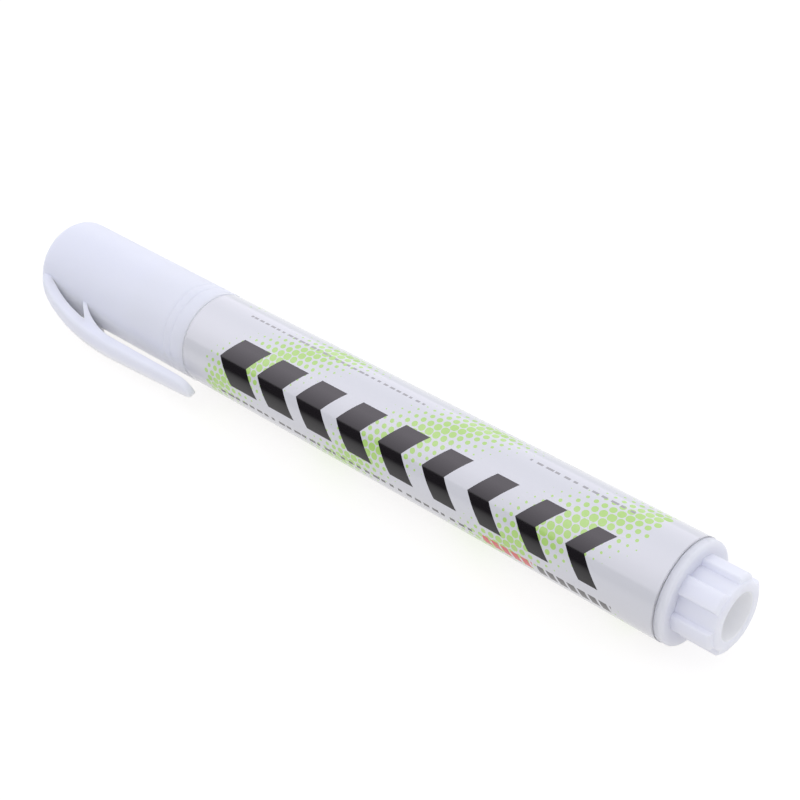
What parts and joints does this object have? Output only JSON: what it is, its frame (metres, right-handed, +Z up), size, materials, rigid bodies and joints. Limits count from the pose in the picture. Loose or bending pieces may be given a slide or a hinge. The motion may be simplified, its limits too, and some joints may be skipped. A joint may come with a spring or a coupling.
{
  "type": "paint marker",
  "caption": "White paint marker with a clipped cap, a printed film on its barrel, a sprung valve behind a bullet nib, a mixing ball and a ribbed rear plug.",
  "frame": {"origin": "under the middle of the whole marker, on the surface that it lies on", "axes": "+X along the marker's axis from the cap's closed end to the rear plug, +Z up, -Y towards the clip's side"},
  "size_m": [0.1404, 0.0198, 0.0161],
  "materials": {
    "cap_plastic": "satin moulded plastic",
    "liner_plastic": "soft moulded plastic",
    "label_film": "glossy printed film",
    "barrel_plastic": "moulded plastic",
    "plug_plastic": "satin moulded plastic",
    "holder_plastic": "moulded plastic",
    "nib_fibre": "pressed fibre",
    "valve_plastic": "moulded plastic",
    "stem_plastic": "moulded plastic",
    "seal_rubber": "soft rubber",
    "spring_steel": "drawn wire",
    "retainer_plastic": "moulded plastic",
    "ball_steel": "ground steel"
  },
  "bodies": {
    "barrel": {"barrel": "barrel_plastic", "label_sleeve": "label_film", "front_section": "holder_plastic", "valve_body": "valve_plastic", "valve_spring": "spring_steel", "spring_retainer": "retainer_plastic", "rear_plug": "plug_plastic"},
    "cap": {"cap": "cap_plastic", "inner_cap": "liner_plastic"},
    "plunger": {"nib": "nib_fibre", "valve_stem": "stem_plastic", "valve_seal": "seal_rubber"},
    "ball": {"mixing_ball": "ball_steel"}
  },
  "joints": [
    {"name": "cap_pull", "type": "slide", "parent": "barrel", "child": "cap", "axis": [-1, 0, 0], "range_m": [0, 0.045]},
    {"name": "nib_press", "type": "slide", "parent": "barrel", "child": "plunger", "axis": [1, 0, 0], "range_m": [0, 0.002], "stiffness_N_per_m": 400, "springref_m": -0.003, "deforming": ["valve_spring"]},
    {"name": "ball_slide", "type": "slide", "parent": "barrel", "child": "ball", "axis": [1, 0, 0], "range_m": [0, 0.0685]}
  ]
}
